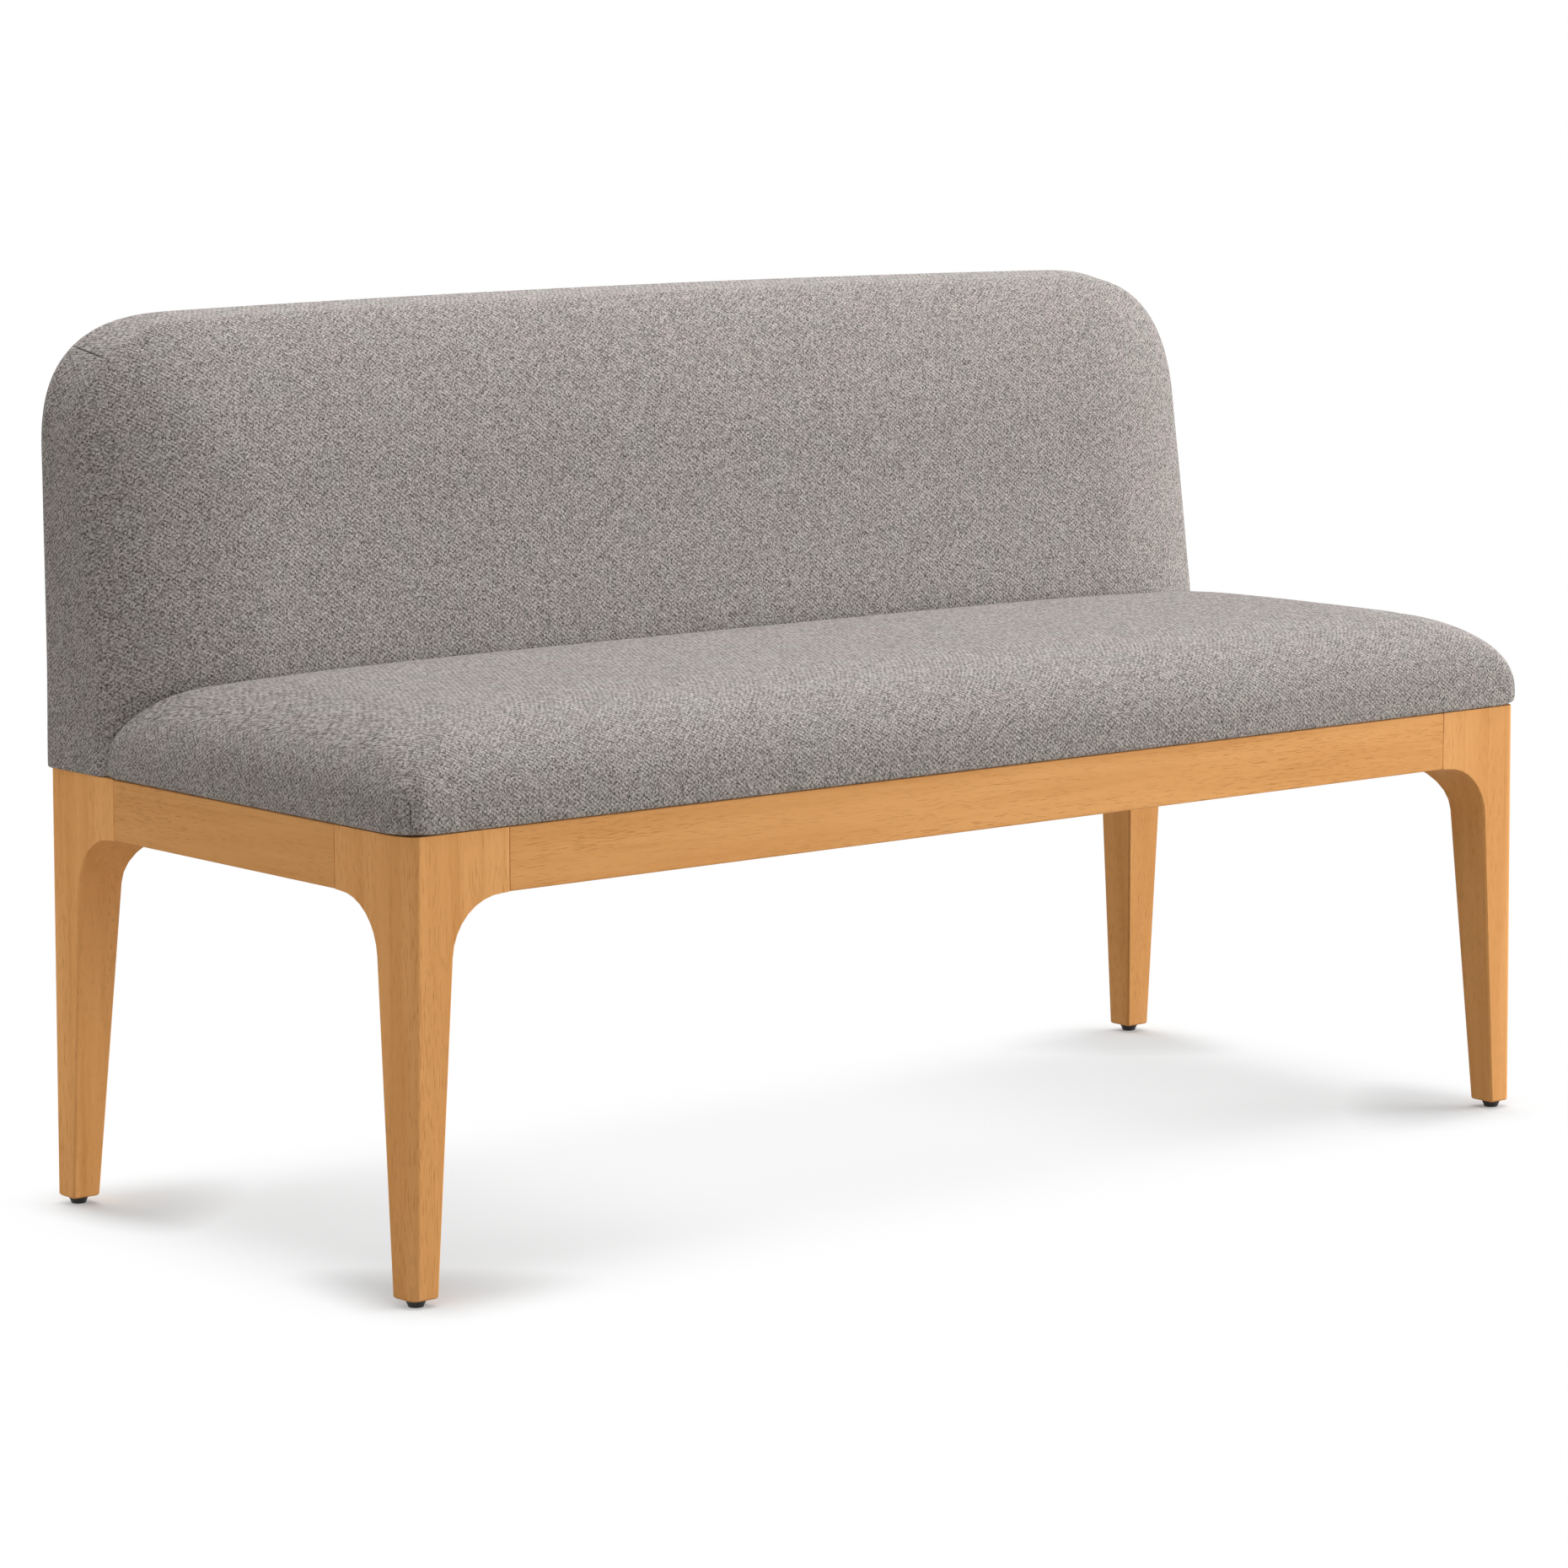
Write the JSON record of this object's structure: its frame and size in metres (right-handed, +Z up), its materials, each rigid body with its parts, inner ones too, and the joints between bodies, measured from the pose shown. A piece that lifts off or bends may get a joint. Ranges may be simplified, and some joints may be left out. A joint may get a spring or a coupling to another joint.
{
  "type": "banquette",
  "caption": "Upholstered dining banquette: crowned seat and low padded back with rounded corners on a wooden frame with tapered bracket legs and levelling feet.",
  "frame": {"origin": "on the floor under the middle of the bench", "axes": "+X to the right of someone facing the front, +Y from the front to the back, +Z up"},
  "size_m": [1.327, 0.549, 0.8],
  "materials": {
    "wood": "satin honey-coloured lacquer",
    "hidden_wood": "bare",
    "plywood": "bare",
    "fabric": "heathered warm grey weave",
    "foam": "open-cell foam",
    "dust_cloth": "black non-woven cloth",
    "steel": "zinc-plated",
    "black_plastic": "satin black"
  },
  "bodies": {
    "bench": {"front_leg_left": "wood", "front_leg_right": "wood", "rear_leg_left": "wood", "rear_leg_right": "wood", "front_rail": "wood", "rear_rail": "wood", "side_rail_left": "wood", "side_rail_right": "wood", "centre_rail": "hidden_wood", "corner_block_front_left": "hidden_wood", "corner_block_front_right": "hidden_wood", "corner_block_rear_left": "hidden_wood", "corner_block_rear_right": "hidden_wood", "back_post_left": "hidden_wood", "back_post_right": "hidden_wood", "back_top_rail": "hidden_wood", "back_bottom_rail": "hidden_wood", "seat_deck": "plywood", "back_panel": "plywood", "seat_cover": "fabric", "back_cover": "fabric", "seat_foam": "foam", "back_foam": "foam", "back_wadding": "foam", "seat_dust_cover": "dust_cloth", "back_dust_cover": "dust_cloth", "leg_bolt_front_left": "steel", "leg_bolt_front_right": "steel", "leg_bolt_rear_left": "steel", "leg_bolt_rear_right": "steel", "seat_screw_front_left": "steel", "seat_screw_front_right": "steel", "seat_screw_rear_left": "steel", "seat_screw_rear_right": "steel", "leveller_insert_front_left": "steel", "leveller_insert_front_right": "steel", "leveller_insert_rear_left": "steel", "leveller_insert_rear_right": "steel", "back_bolt_left_upper": "steel", "back_bolt_left_lower": "steel", "back_bolt_right_upper": "steel", "back_bolt_right_lower": "steel", "back_insert_left_upper": "steel", "back_insert_left_lower": "steel", "back_insert_right_upper": "steel", "back_insert_right_lower": "steel"},
    "leveller_front_left": {"leveller_front_left": "black_plastic"},
    "leveller_front_right": {"leveller_front_right": "black_plastic"},
    "leveller_rear_left": {"leveller_rear_left": "black_plastic"},
    "leveller_rear_right": {"leveller_rear_right": "black_plastic"}
  },
  "joints": [
    {"name": "leveller_front_left_screw", "type": "slide", "parent": "bench", "child": "leveller_front_left", "axis": [0, 0, -1], "range_m": [0, 0.008]},
    {"name": "leveller_front_right_screw", "type": "slide", "parent": "bench", "child": "leveller_front_right", "axis": [0, 0, -1], "range_m": [0, 0.008]},
    {"name": "leveller_rear_left_screw", "type": "slide", "parent": "bench", "child": "leveller_rear_left", "axis": [0, 0, -1], "range_m": [0, 0.008]},
    {"name": "leveller_rear_right_screw", "type": "slide", "parent": "bench", "child": "leveller_rear_right", "axis": [0, 0, -1], "range_m": [0, 0.008]}
  ]
}
